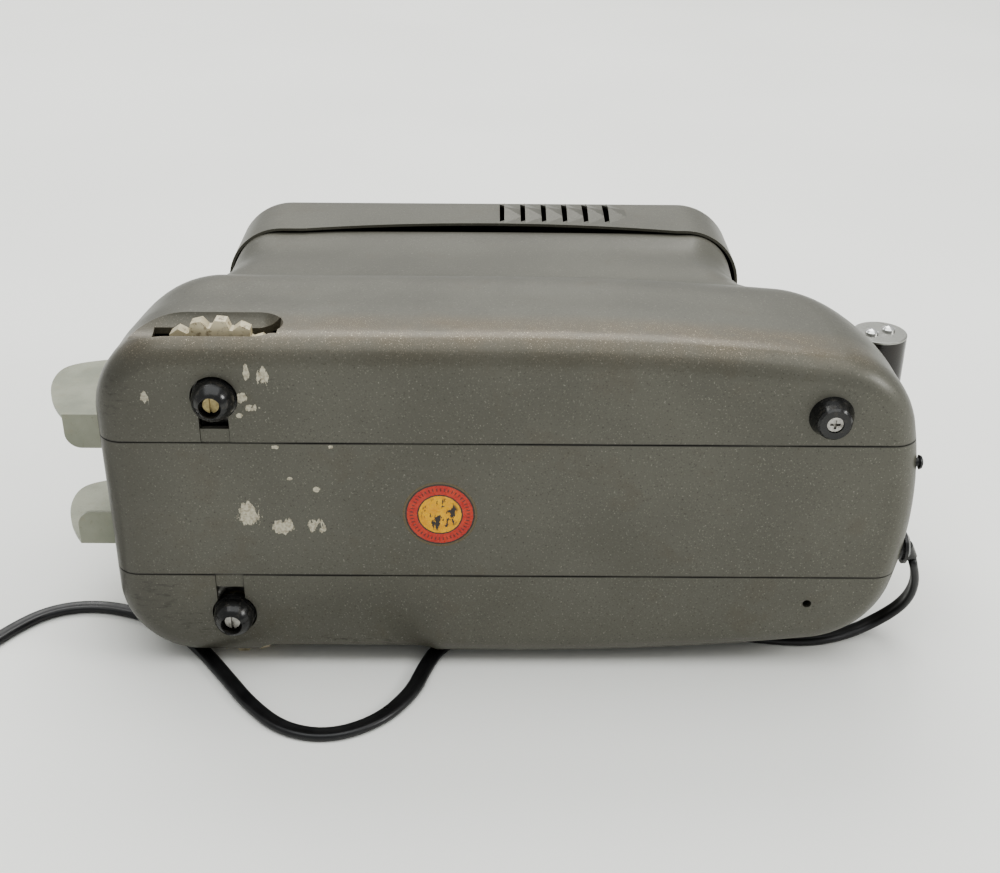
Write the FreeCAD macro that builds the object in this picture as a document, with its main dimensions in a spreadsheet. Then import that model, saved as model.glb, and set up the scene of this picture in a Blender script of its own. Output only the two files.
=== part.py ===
import FreeCAD, Part
import math
import os
import re
import Sketcher

Vector = FreeCAD.Vector
Rotation = FreeCAD.Rotation
Placement = FreeCAD.Placement

# A portable slide projector lying on its right side. Machine axes while modelling: X runs from
# the lens end (-) to the handle end (+), Y from the underside (0) to the lamp house cap, and Z
# from the right cover (-) to the left cover (+). Each sub-part's Placement then stands it on
# the floor, with the origin under the middle of the box.

# ------------------------------------------------------------------ driving dimensions, mm
SIZES = {
    # case
    "wall": 2.2, "frame_wall": 4.4, "bottom_fillet": 10.0,
    "seam_z": 28.0, "seam_gap": 0.15, "flange_reach": 3.5, "flange_play": 0.15,
    # place of the origin
    "stand_x": 6.2, "stand_y": -96.475, "stand_z": 70.6,
    # front feet and their elevation wheels
    "foot_x": -103.7, "foot_z": 45.6, "foot_hole": 8.4, "foot_ball": 7.6, "foot_collar": 7.8,
    "foot_drop": 7.9, "foot_head": 2.9, "slot_x": -104.5, "slot_width": 10.5, "tab_reach": 5.5,
    "stud_r": 3.0, "stud_tall": 40.0, "stud_fit": 0.05, "screw_r": 1.6,
    "wheel_r": 25.0, "wheel_root": 22.2, "wheel_low": 10.2, "wheel_thick": 5.0, "wheel_phase": 6.0,
    "web_z": 16.0,
    "scoop_r": 12.0, "scoop_y": 16.4, "scoop_z": 73.5, "scoop_end": -90.4,
    "slot_front": -127.2, "slot_rear": -81.6, "slot_low": 8.8, "slot_high": 22.0,
    "finger_r": 14.0, "finger_y": -2.0, "finger_z": 74.0, "finger_front": -88.0, "finger_rear": -36.0,
    # rear feet
    "rear_x": 113.2, "rear_z": 39.8, "bumper_r": 8.0, "bumper_face": 6.1, "bumper_tall": 6.4,
    "boss_r": 4.6, "boss_tall": 9.0, "boss_hole": 1.65,
    # lamp house cap
    "cap_half": 54.6, "cap_front": -124.8, "cap_rear": 103.6, "cap_low": 150.5, "cap_top": 198.0,
    "cap_corner": 25.0, "cap_edge": 14.0, "cap_wall": 1.2,
    "rim_arch": 405.0, "rim_arch_x": -8.0, "rim_peak": 159.0,
    "gill_first": -1.5, "gill_pitch": 9.45, "gill_low": 159.5, "gill_high": 187.0,
    "gill_run": 8.4, "gill_rise": 3.0, "gill_sheet": 0.9,
    "bridge_top": 149.7, "bridge_front": -76.0, "bridge_rear": 68.0, "bridge_half": 47.6,
    # optics
    "optic_y": 122.0, "tube_r": 23.0, "barrel_r": 20.0, "barrel_fit": 0.05,
    "tube_front": -134.0, "tube_rear": -96.0, "barrel_front": -143.0, "barrel_rear": -88.0,
    "lamp_x": 23.0, "deck_y": 76.0, "deck_thick": 1.5,
    # motor, fan and switch
    "motor_x": 30.0, "shaft_r": 2.0, "shaft_fit": 0.05, "rotor_r": 11.0, "fan_r": 30.0,
    "switch_x": 96.0, "switch_y": 126.0, "switch_neck": 6.0, "switch_throw": 12.0,
    "pin_r": 1.2, "pin_fit": 0.05,
    # slide bin
    "bin_z": 28.4, "bin_thick": 1.6, "bin_low": 21.4, "bin_high": 73.6, "bin_lip": 14.0,
    # handle
    "grip_x": 153.0, "grip_y": 90.2, "grip_r": 11.0, "grip_half": 32.0, "grip_cap": 1.0, "rod_r": 3.1,
    "yoke_half": 5.0, "yoke_z": 23.6, "yoke_thick": 2.0, "yoke_play": 0.4, "yoke_front": 104.0,
    # label, rear screw and cord
    "label_x": -25.2, "label_z": -1.2, "label_r": 13.65, "label_thick": 0.3,
    "rear_screw_y": 7.0, "rear_screw_z": 18.0,
    "gland_x": 143.4, "gland_y": 12.0, "gland_z": -21.5, "gland_r": 5.0,
    "relief_r": 2.7, "relief_nose": 6.2, "cord_r": 1.6,
    "coil_x": -256.0, "coil_y": 0.0, "coil_r": 43.5, "coil_band": 19.0, "coil_tall": 9.8,
    "plug_x": -297.6, "plug_y": 22.5, "plug_axis": 6.5,
}

doc = FreeCAD.newDocument("SlideProjector")
sheet = doc.addObject("Spreadsheet::Sheet", "Sizes")
for row, (alias, size) in enumerate(SIZES.items(), start=1):
    sheet.set("A%d" % row, alias)
    sheet.set("B%d" % row, str(size))
    sheet.setAlias("B%d" % row, alias)
doc.recompute()

UP = Vector(0, 0, 1)
TO_UP = Rotation()
TO_DOWN = Rotation(UP, Vector(0, 0, -1))
TO_BACK = Rotation(UP, Vector(0, 1, 0))
TO_FRONT = Rotation(UP, Vector(0, -1, 0))
TO_REAR = Rotation(UP, Vector(1, 0, 0))
TO_LENS = Rotation(UP, Vector(-1, 0, 0))
STAND = ("stand_x", "stand_y", "stand_z")
sub_parts = {}


def size(alias):
    return float(sheet.get(alias))


def rule(text):
    """A rule in plain aliases as an expression on the sheet."""
    found = lambda word: "Sizes." + word.group() if word.group() in SIZES else word.group()
    return re.sub(r"[a-z_]+", found, str(text))


def bind(item, rules):
    for prop, text in rules.items():
        item.setExpression(prop, rule(text))
    return item


def place(item, at, turn=TO_UP, stand=False):
    item.Placement = Placement(Vector(), turn)
    for axis, text, shift in zip("xyz", at, STAND):
        item.setExpression("Placement.Base." + axis, rule("%s + %s" % (text, shift) if stand else text))
    return item


def sub_part(label, item):
    """Name a finished piece and stand it on the floor."""
    item.Label = label
    if item.TypeId != "PartDesign::Body":
        place(item, (0, 0, 0), stand=True)
    sub_parts[label] = item
    return item


# ------------------------------------------------------------------ primitives and booleans
def cylinder(radius, length, at, turn=TO_UP):
    item = doc.addObject("Part::Cylinder", "Cylinder")
    return place(bind(item, {"Radius": radius, "Height": length}), at, turn)


def cone(radius, top, length, at, turn=TO_UP):
    item = doc.addObject("Part::Cone", "Cone")
    return place(bind(item, {"Radius1": radius, "Radius2": top, "Height": length}), at, turn)


def sphere(radius, at):
    item = doc.addObject("Part::Sphere", "Sphere")
    return place(bind(item, {"Radius": radius}), at)


def box(low, high):
    """A box from its low corner to its high corner, as rules for x, y and z."""
    item = doc.addObject("Part::Box", "Box")
    spans = ["(%s) - (%s)" % pair for pair in zip(high, low)]
    return place(bind(item, dict(zip(("Length", "Width", "Height"), spans))), low)


def solid(shape, name="Form"):
    item = doc.addObject("Part::Feature", name)
    item.Shape = shape
    return item


def join(*items):
    item = doc.addObject("Part::MultiFuse", "Join")
    item.Shapes = list(items)
    item.Refine = True
    return item


def cut(base, *tools):
    item = doc.addObject("Part::Cut", "Cut")
    item.Base = base
    item.Tool = tools[0] if len(tools) == 1 else join(*tools)
    return item


def common(base, tool):
    item = doc.addObject("Part::Common", "Common")
    item.Base = base
    item.Tool = tool
    return item


def group(*items):
    item = doc.addObject("Part::Compound", "Group")
    item.Links = list(items)
    return item


def rounded(base, radius, test):
    """Round the edges of base that pass the test on their middle point."""
    doc.recompute()
    item = doc.addObject("Part::Fillet", "Rounded")
    item.Base = base
    picked = []
    for number, edge in enumerate(base.Shape.Edges, start=1):
        middle = edge.valueAt((edge.FirstParameter + edge.LastParameter) / 2)
        if test(middle, edge):
            picked.append((number, radius, radius))
    item.Edges = picked
    return item


# ------------------------------------------------------------------ PartDesign bodies
def sketch_on(body, plane_role, points):
    """A closed outline whose corners are held by rules for their two coordinates."""
    sketch = body.newObject("Sketcher::SketchObject", "Outline")
    plane = [item for item in body.Origin.OriginFeatures if item.Role == plane_role][0]
    sketch.AttachmentSupport = [(plane, "")]
    sketch.MapMode = "FlatFace"
    count = len(points)
    for index in range(count):
        start = Vector(index + 1, index * index + 1, 0)
        after = (index + 1) % count
        sketch.addGeometry(Part.LineSegment(start, Vector(after + 1, after * after + 1, 0)))
    for index in range(count):
        sketch.addConstraint(Sketcher.Constraint("Coincident", index, 2, (index + 1) % count, 1))
    for index, point in enumerate(points):
        for kind, axis, text, start in zip(("DistanceX", "DistanceY"), (-2, -1), point,
                                           (index + 1, index * index + 1)):
            if text == 0:
                sketch.addConstraint(Sketcher.Constraint("PointOnObject", index, 1, axis))
                continue
            held = Sketcher.Constraint(kind, -1, 1, index, 1, float(start))
            number = sketch.addConstraint(held)
            sketch.setExpression("Constraints[%d]" % number, rule(text))
    return sketch


def turned(label, section, at, turn=TO_UP, stand=True):
    """A body turned about its own axis; section lists (radius, height) rules."""
    body = doc.addObject("PartDesign::Body", "Turned")
    sketch = sketch_on(body, "XZ_Plane", section)
    lathe = body.newObject("PartDesign::Revolution", "Lathe")
    lathe.Profile = sketch
    lathe.ReferenceAxis = (sketch, ["V_Axis"])
    lathe.Angle = 360
    place(body, at, turn, stand)
    return sub_part(label, body) if label else body


def ring_of(label, hub, thick, tooth, count, at, turn, bore, phase=0):
    """A disc with one tooth or blade outline repeated round it, and a bore."""
    body = doc.addObject("PartDesign::Body", "Wheel")
    plane = [item for item in body.Origin.OriginFeatures if item.Role == "XY_Plane"][0]
    disc = body.newObject("Sketcher::SketchObject", "Disc")
    disc.AttachmentSupport = [(plane, "")]
    disc.MapMode = "FlatFace"
    for number, radius in enumerate((hub, bore)):
        disc.addGeometry(Part.Circle(Vector(), UP, 1 + number))
        disc.addConstraint(Sketcher.Constraint("Coincident", number, 3, -1, 1))
        held = disc.addConstraint(Sketcher.Constraint("Radius", number, 1.0 + number))
        disc.setExpression("Constraints[%d]" % held, rule(radius))
    pad = body.newObject("PartDesign::Pad", "Pad")
    pad.Profile = disc
    pad.setExpression("Length", rule(thick))
    blade = sketch_on(body, "XY_Plane", tooth)
    blade.AttachmentOffset = Placement(Vector(), Rotation(UP, phase))
    grown = body.newObject("PartDesign::Pad", "Tooth")
    grown.Profile = blade
    grown.setExpression("Length", rule(thick))
    pattern = body.newObject("PartDesign::PolarPattern", "Round")
    pattern.Originals = [grown]
    pattern.Axis = (disc, ["N_Axis"])
    pattern.Angle = 360
    pattern.Occurrences = count
    body.Tip = pattern
    place(body, at, turn, stand=True)
    return sub_part(label, body)


# ------------------------------------------------------------------ case forms
# Each station of the case: height, reach to the front, reach to the rear, half width, front
# corner, rear corner, radius of the side, radius of the rear end.
STATIONS = [
    (0, 147.9, 149.7, 66.9, 30, 34, 1000, 150),
    (10, 148.0, 149.8, 67.0, 30, 34, 1000, 150),
    (24, 148.3, 149.9, 67.0, 32, 35, 1000, 150),
    (38, 148.5, 149.7, 67.0, 34, 36, 1000, 150),
    (52, 147.3, 147.2, 67.0, 35, 37, 1000, 150),
    (62, 145.6, 143.6, 66.7, 35, 37, 1000, 150),
    (70, 143.7, 139.2, 64.3, 34, 36, 1200, 160),
    (78, 141.6, 133.4, 59.6, 32, 34, 1700, 180),
    (86, 139.4, 126.4, 55.6, 29, 31, 2600, 220),
    (95, 136.4, 117.0, 53.2, 27, 28, 4000, 260),
    (105, 131.2, 108.0, 52.4, 25, 25, 6000, 300),
    (118, 126.0, 103.2, 52.1, 24, 24, 6000, 300),
    (135, 123.7, 101.7, 52.0, 24, 24, 6000, 300),
    (155, 122.6, 101.2, 51.8, 24, 24, 6000, 300),
]


def meet(first, first_r, second, second_r):
    """Where two circles cross, on the side of positive z. Points are (x, z)."""
    across = math.dist(first, second)
    along = (first_r ** 2 - second_r ** 2 + across ** 2) / (2 * across)
    off = math.sqrt(first_r ** 2 - along ** 2)
    ux, uz = [(b - a) / across for a, b in zip(first, second)]
    spots = [(first[0] + along * ux - sign * off * uz, first[1] + along * uz + sign * off * ux)
             for sign in (1, -1)]
    return max(spots, key=lambda spot: spot[1])


def beyond(centre, through, radius):
    """The point at radius from centre, on the line through another point."""
    reach = math.dist(centre, through)
    return tuple(c + (t - c) * radius / reach for c, t in zip(centre, through))


def halfway(centre, radius, start, end):
    middle = ((start[0] + end[0]) / 2, (start[1] + end[1]) / 2)
    return beyond(centre, middle, radius)


def station_wire(station, inset, height):
    _, front, rear, half, front_corner, rear_corner, side_r, end_r = station
    low_x, high_x, half = inset - front, rear - inset, half - inset
    corner = front_corner - inset
    nose = (low_x, half - corner)
    nose_centre = (low_x + corner, half - corner)
    shoulder = (low_x + corner, half)
    taper = (0.0, half)
    side_r, end_r, tail = side_r - inset, end_r - inset, rear_corner - inset
    side_centre, end_centre = (0.0, half - side_r), (high_x - end_r, 0.0)
    tail_centre = meet(side_centre, side_r - tail, end_centre, end_r - tail)
    haunch = beyond(side_centre, tail_centre, side_r)
    heel = beyond(end_centre, tail_centre, end_r)
    lift = lambda spot, sign=1: Vector(spot[0], height, sign * spot[1])
    edges = [Part.LineSegment(lift(nose, -1), lift(nose))]
    half_path = [
        (nose, halfway(nose_centre, corner, nose, shoulder), shoulder),
        (shoulder, None, taper),
        (taper, halfway(side_centre, side_r, taper, haunch), haunch),
        (haunch, halfway(tail_centre, tail, haunch, heel), heel),
    ]
    for start, middle, end in half_path:
        if middle:
            edges.append(Part.Arc(lift(start), lift(middle), lift(end)))
        else:
            edges.append(Part.LineSegment(lift(start), lift(end)))
    edges.append(Part.Arc(lift(heel), lift((high_x, 0.0)), lift(heel, -1)))
    for start, middle, end in reversed(half_path):
        if middle:
            edges.append(Part.Arc(lift(end, -1), lift(middle, -1), lift(start, -1)))
        else:
            edges.append(Part.LineSegment(lift(end, -1), lift(start, -1)))
    return Part.Wire([edge.toShape() for edge in edges])


def case_form(inset, name):
    """The case as a solid, inset by a wall, with the underside's edge rounded."""
    fillet = size("bottom_fillet") - inset
    wires = []
    for degrees in (0, 18, 36, 54, 72):
        turn = math.radians(degrees)
        drawn_in = inset + fillet * (1 - math.sin(turn))
        wires.append(station_wire(STATIONS[0], drawn_in, inset + fillet * (1 - math.cos(turn))))
    for station in STATIONS[1:]:
        height = station[0] + (4 if inset and station is STATIONS[-1] else 0)
        wires.append(station_wire(station, inset, height))
    return solid(Part.makeLoft(wires, True, False), name)


def slab(low_z, high_z):
    return box((-250, -20, low_z), (250, 260, high_z))


def on_side(side, text):
    """A rule for z on the left (side 1), or mirrored for the right (side -1)."""
    return str(text) if side > 0 else "0 - (%s)" % text


def across(side, near, far):
    """Low and high z of what lies between near and far from the middle, on one side."""
    return (near, far) if side > 0 else (on_side(side, far), on_side(side, near))


def scoop(radius, front, rear, y, z, closed_front):
    """A round-ended hollow along X."""
    tools = [cylinder(radius, "(%s) - (%s)" % (rear, front), (front, y, z), TO_REAR)]
    tools.append(sphere(radius, (rear, y, z)))
    if closed_front:
        tools.append(sphere(radius, (front, y, z)))
    return join(*tools)


def make_frame(outer, lap, core):
    """The centre frame: a band all round, with lips that back both seams."""
    band = common(outer, slab("seam_gap - seam_z", "seam_z - seam_gap"))
    lips = common(lap, slab("0 - seam_z - flange_reach", "seam_z + flange_reach"))
    tab_low, tab_high = "slot_x - slot_width / 2 + seam_gap", "slot_x + slot_width / 2 - seam_gap"
    tabs = []
    for side in (1, -1):
        near, far = across(side, "seam_z - 3", "seam_z + tab_reach")
        tabs.append(box((tab_low, 0.3, near), (tab_high, 2.6, far)))
    openings = [
        cylinder("tube_r + 0.15", 60, (-160, "optic_y", 0), TO_REAR),
        box((-160, "bin_low - 0.25", "0 - bin_z + 0.2"), (-130, "bin_high + 0.25", "bin_z - 0.2")),
        cylinder("gland_r + 0.1", 14, (140, "gland_y", "gland_z"), TO_REAR),
        cylinder("screw_r + 0.15", 14, (140, "rear_screw_y", "rear_screw_z"), TO_REAR),
        cylinder("switch_neck + 0.1", 20, (92, "switch_y", 0), TO_REAR),
        cylinder("label_r + 0.05", "label_thick + 1", ("label_x", -1, "label_z"), TO_BACK),
    ]
    for side in (1, -1):
        near, far = across(side, "yoke_z - yoke_play", "yoke_z + yoke_thick + yoke_play")
        openings.append(box((100, "grip_y - yoke_half - yoke_play", near),
                            (150, "grip_y + yoke_half + yoke_play", far)))
    sub_part("centre_frame", cut(join(cut(join(band, lips), core), *tabs), *openings))


def make_cover(outer, inner, side, label):
    """One side cover: its shell, the wheel's scoop and slot, the feet's holes."""
    low, high = across(side, "seam_z + seam_gap", 120)
    shell = common(cut(outer, inner), slab(low, high))
    scoop_at = (-150, "scoop_end", "scoop_y", on_side(side, "scoop_z"), False)
    linings = [common(outer, scoop("scoop_r + wall", *scoop_at))]
    hollows = [scoop("scoop_r", *scoop_at)]
    if side < 0:
        finger_at = ("finger_front", "finger_rear", "finger_y", "0 - finger_z", True)
        linings.append(common(outer, scoop("finger_r + wall", *finger_at)))
        hollows.append(scoop("finger_r", *finger_at))
    rear = on_side(side, "rear_z")
    boss = cylinder("boss_r", "boss_tall", ("rear_x", "wall - 1", rear), TO_BACK)
    near, far = across(side, "seam_z - 2", "foot_z")
    low, high = across(side, 55, 70)
    holes = [
        cylinder("foot_hole", 6, ("foot_x", -2, on_side(side, "foot_z")), TO_BACK),
        box(("slot_x - slot_width / 2", -2, near), ("slot_x + slot_width / 2", 4, far)),
        box(("slot_front", "slot_low", low), ("slot_rear", "slot_high", high)),
        cylinder("boss_hole", "boss_tall + 6", ("rear_x", -2, rear), TO_BACK),
    ]
    sub_part(label, cut(join(shell, boss, *linings), *(hollows + holes)))


def make_case():
    outer = case_form(0.0, "CaseOutside")
    inner = case_form(size("wall"), "CoverInside")
    lap = case_form(size("wall") + size("flange_play"), "LapOutside")
    core = case_form(size("frame_wall"), "FrameInside")
    make_frame(outer, lap, core)
    make_cover(outer, inner, 1, "left_cover")
    make_cover(outer, inner, -1, "right_cover")


# ------------------------------------------------------------------ lamp house cap
POST_X = (-70, 62)
LOUVRES = 6


def rounded_block(low, high, corner, edge):
    """A block with upright corners and a rounded ceiling."""
    block = box(low, high)
    doc.recompute()
    soft = rounded(block, corner, lambda at, line: abs(line.tangentAt(line.FirstParameter).y) > 0.9)
    doc.recompute()
    ceiling = block.Shape.BoundBox.YMax
    return rounded(soft, edge, lambda at, line: abs(at.y - ceiling) < 0.01 and line.BoundBox.YLength < 0.01)


def louvre(index, side, sheet):
    """One louvre's outside (sheet 0) or inside: a ridge, open to the lens end, falling to the rear."""
    middle = (size("gill_high") + size("gill_low")) / 2
    half = (size("gill_high") - size("gill_low")) / 2 - 2 * sheet
    front = size("gill_first") + index * size("gill_pitch") - (2.0 if sheet else 0.0)
    rear = size("gill_first") + index * size("gill_pitch") + size("gill_run") - 2 * sheet
    face = size("cap_half")
    sunk = face - (size("cap_wall") + 1 if sheet else 0.5)
    outline = [(front, middle - half), (front, middle + half), (rear, middle + half * 0.35),
               (rear, middle - half * 0.35)]
    spots = [Vector(x, y, sunk) for x, y in outline]
    spots += [Vector(x, y, face - 0.05) for x, y in outline]
    spots.append(Vector(front, middle, face + size("gill_rise") - sheet))
    sides = [(0, 1, 2, 3), (0, 4, 8, 5, 1), (1, 5, 6, 2), (2, 6, 7, 3), (3, 7, 4, 0),
             (4, 7, 8), (7, 6, 8), (6, 5, 8)]
    faces = [Part.Face(Part.makePolygon([spots[i] for i in ring + ring[:1]])) for ring in sides]
    shape = Part.makeSolid(Part.makeShell(faces))
    return solid(shape if side > 0 else shape.mirror(Vector(), UP), "Louvre")


def make_cap():
    outer = rounded_block(("cap_front", "cap_low", "0 - cap_half"), ("cap_rear", "cap_top", "cap_half"),
                          size("cap_corner"), size("cap_edge"))
    inner = rounded_block(("cap_front + cap_wall", "cap_low - 5", "cap_wall - cap_half"),
                          ("cap_rear - cap_wall", "cap_top - cap_wall", "cap_half - cap_wall"),
                          size("cap_corner") - size("cap_wall"), size("cap_edge") - size("cap_wall"))
    arch = cylinder("rim_arch", 160, ("rim_arch_x", "rim_peak - rim_arch", -80))
    hoods = [louvre(i, side, 0.0) for side in (1, -1) for i in range(LOUVRES)]
    mouths = [louvre(i, side, size("gill_sheet")) for side in (1, -1) for i in range(LOUVRES)]
    holes = [cylinder("screw_r + 0.1", 10, (x, "cap_top - 6", 0), TO_BACK) for x in POST_X]
    sub_part("lamp_house_cap", cut(join(cut(outer, inner, arch), *hoods), *(mouths + holes)))

    post_tall = "cap_top - cap_wall - bridge_top"
    post = [(0, 0), (3.5, 0), (3.5, post_tall), (0, post_tall)]
    sub_part("cap_posts", group(*[turned(None, post, (x, "bridge_top", 0), TO_BACK, False) for x in POST_X]))
    screw = [(0, 0), ("screw_r", 0), ("screw_r", 3.2), (4.4, 3.2), (4.0, 4.8), (2.4, 5.7), (0, 6.0)]
    sub_part("cap_screws", group(*[turned(None, screw, (x, "cap_top - 3.15", 0), TO_BACK, False)
                                   for x in POST_X]))
    low, high = "bridge_top - 2", "bridge_top"
    straps = [box((x - 6, low, "0 - bridge_half"), (x + 6, high, "bridge_half")) for x in POST_X]
    ribs = [box(("bridge_front", low, z - 4), ("bridge_rear", high, z + 4)) for z in (-20, 20)]
    sub_part("lamp_house_bridge", join(*(straps + ribs)))


# ------------------------------------------------------------------ feet and elevation
TOOTH = [("wheel_root - 1.5", -3.5), ("wheel_root", -3.3), ("wheel_r", -1.9), ("wheel_r", 1.9),
         ("wheel_root", 3.3), ("wheel_root - 1.5", 3.5)]


def make_front_foot(side, name):
    """A wheel with a threaded hub, and the stud, rubber foot and screw that it drives."""
    z = on_side(side, "foot_z")
    at = lambda y: ("foot_x", y, z)
    # a tooth of the right wheel points straight down, at the floor
    phase = 90 + (size("wheel_phase") if side > 0 else 0)
    ring_of("elevation_wheel_" + name, "wheel_root", "wheel_thick", TOOTH, 18, at("wheel_low"),
            TO_BACK, "stud_r + stud_fit", phase)

    clearance = cylinder("screw_r + 0.1", 20, at(-10), TO_BACK)
    below = box(("foot_x - 20", -20, z + " - 20"), ("foot_x + 20", "0 - foot_drop", z + " + 20"))
    above = box(("foot_x - 20", 2, z + " - 20"), ("foot_x + 20", 20, z + " + 20"))
    recess = cylinder("foot_head + 1", 5.2, at(-3.6), TO_FRONT)
    ball = join(sphere("foot_ball", at(-1.5)), cylinder("foot_collar", 1.6, at(0.4), TO_BACK))
    sub_part("front_foot_" + name, cut(ball, below, above, recess, clearance))

    slot = box(("foot_x - 0.45", -8, z + " - 4"), ("foot_x + 0.45", -4.6, z + " + 4"))
    head = cut(cylinder("foot_head", 1.9, at(-3.6), TO_FRONT), slot)
    sub_part("foot_screw_" + name, join(head, cylinder("screw_r", 9.2, at(-3.7), TO_BACK)))

    section = [(0, 0), (4.6, 0), (4.6, 2), ("stud_r", 2), ("stud_r", "stud_tall - 1"),
               ("stud_r - 1", "stud_tall"), (0, "stud_tall")]
    stud = turned(None, section, at(2.05), TO_BACK, False)
    sub_part("foot_stud_" + name, cut(stud, cylinder("screw_r + 0.05", 6, at(0), TO_BACK)))

    ends = across(side, "web_z", "foot_z + 9")
    web = across(side, "web_z", "web_z + 3")
    bars = [box(("foot_x - 12", low, near), ("foot_x + 12", high, far))
            for low, high, (near, far) in ((5.8, 8.4, ends), (17.0, 24.6, ends), (4.4, 24.6, web))]
    bores = [cylinder(6.5, 4, at(5), TO_BACK), cylinder("stud_r + stud_fit", 9, at(16.5), TO_BACK)]
    sub_part("elevator_bracket_" + name, cut(join(*bars), *bores))


def make_rear_feet():
    """The one rear foot that is left: a rubber bumper and its cross-head screw."""
    section = [(1.7, 2.4), (3.3, 2.4), (3.3, 0.9), (3.0, 0.4), (5.4, 0.4), ("bumper_face", 1.2),
               ("bumper_r", "bumper_tall + 0.4"), (1.7, "bumper_tall + 0.4")]
    sub_part("rear_foot", turned(None, section, ("rear_x", "0 - bumper_tall - 0.4", "rear_z"), TO_BACK))
    at = ("rear_x", "2.0 - bumper_tall", "rear_z")
    bars = [box(("rear_x - %s" % x, -9, "rear_z - %s" % z),
                ("rear_x + %s" % x, "1.4 - bumper_tall", "rear_z + %s" % z))
            for x, z in ((0.45, 1.8), (1.8, 0.45))]
    head = cut(cylinder(2.9, 1.5, at, TO_FRONT), *bars)
    shank = cylinder("screw_r", 13, ("rear_x", "1.9 - bumper_tall", "rear_z"), TO_BACK)
    sub_part("rear_foot_screw", join(head, shank))


# ------------------------------------------------------------------ optics
def lens(radius, edge, crown, at, turn):
    """A plano-convex lens: a disc with a shallow cap of a sphere."""
    ball_r = (radius ** 2 + crown ** 2) / (2 * crown)
    disc = Part.makeCylinder(radius, edge)
    ball = Part.makeSphere(ball_r, Vector(0, 0, edge + crown - ball_r))
    shape = disc.fuse(ball.common(Part.makeCylinder(radius, crown + 1, Vector(0, 0, edge))))
    return place(solid(shape.removeSplitter(), "Lens"), at, turn)


def make_lens():
    tube = "tube_rear - tube_front"
    inside = "barrel_r + barrel_fit"
    turned("lens_tube", [(inside, 0), ("tube_r", 0), ("tube_r", tube), (inside, tube)],
           ("tube_front", "optic_y", 0), TO_REAR)
    barrel = "barrel_rear - barrel_front"
    section = [(17.0, 1.5), (18.2, 0), (19.4, 0), ("barrel_r", 0.8), ("barrel_r", barrel),
               (17.6, barrel), (17.6, 8.0), (17.0, 7.0)]
    turned("lens_barrel", section, ("barrel_front", "optic_y", 0), TO_REAR)
    at = lambda x: ("barrel_front + %s" % x, "optic_y", 0)
    glasses = [lens(17.5, 1.2, 3.4, at(13), TO_LENS), lens(17.5, 3.0, 1.5, at(30), TO_REAR)]
    glasses.append(lens(17.5, 1.5, 3.0, at(46), TO_REAR))
    sub_part("lens_elements", group(*glasses))


def make_condenser():
    """The slide gate and, behind it, the condenser's two lenses and its heat glass."""
    floor = "deck_y + deck_thick"
    gate = box((-66, floor, -30), (-62, "optic_y + 25", 30))
    window = box((-70, "optic_y - 12", -18), (-58, "optic_y + 12", 18))
    sub_part("slide_gate", cut(gate, window))
    at = lambda behind: ("lamp_x - %s" % behind, "optic_y", 0)
    pair = [lens(21, 1.5, 7, at(27), TO_LENS), lens(21, 1.5, 7, at(45), TO_REAR)]
    sub_part("condenser_lenses", group(*pair))
    turned("heat_glass", [(0, 0), (21, 0), (21, 2.5), (0, 2.5)], at(25), TO_REAR)
    block = box(("lamp_x - 54", floor, -24), ("lamp_x - 18", "optic_y + 23.5", 24))
    hollows = []
    for front, rear in ((52.5, 47), (44, 34), (30, 27.5)):
        hollows.append(box(("lamp_x - %s" % front, "deck_y + 3.5", -22.5),
                           ("lamp_x - %s" % rear, "optic_y + 40", 22.5)))
    sub_part("condenser_housing", cut(block, cylinder(21.05, 60, at(60), TO_REAR), *hollows))


def make_lamp():
    """The mirror on its stand and the lamp in its socket, all on a vented deck."""
    floor = "deck_y + deck_thick"
    mirror_r = 32.0
    bowl = Part.makeSphere(mirror_r + 1.5).cut(Part.makeSphere(mirror_r))
    bowl = bowl.common(Part.makeCylinder(22, 60, Vector(), Vector(1, 0, 0)))
    sub_part("reflector", group(place(solid(bowl, "Mirror"), ("lamp_x", "optic_y", 0))))
    stand = box(("lamp_x + 24.5", floor, -16), ("lamp_x + 26.5", "optic_y + 12", 16))
    foot = box(("lamp_x + 24.5", floor, -16), ("lamp_x + 40", floor + " + 2", 16))
    hollow = cylinder(18, 10, ("lamp_x + 20", "optic_y", 0), TO_REAR)
    sub_part("reflector_stand", join(cut(stand, hollow), foot))
    bulb = [(0, 0), (9, 0), (9, 4), (15.5, 12), (15.5, 44), (13, 50.5), (7.5, 53.5), (0, 54)]
    turned("lamp_bulb", bulb, ("lamp_x", "deck_y + 19", 0), TO_BACK)
    base = [(0, 0), (7, 0), (9.4, 2), (9.4, 16.2), (0, 16.2)]
    turned("lamp_base", base, ("lamp_x", "deck_y + 2.8", 0), TO_BACK)
    socket = [(0, 0), (13, 0), (13, 13), (9.6, 13), (9.6, 1.25), (0, 1.25)]
    turned("lamp_socket", socket, ("lamp_x", floor, 0), TO_BACK)
    vents = []
    for degrees in range(0, 360, 45):
        turn = math.radians(degrees)
        spot = ("lamp_x + 24 * %.4f" % math.cos(turn), "deck_y - 1", "24 * %.4f" % math.sin(turn))
        vents.append(cylinder(4.5, 4, spot, TO_BACK))
    sub_part("optical_deck", cut(box((-118, "deck_y", -46), (98, floor, 46)), *vents))


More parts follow.
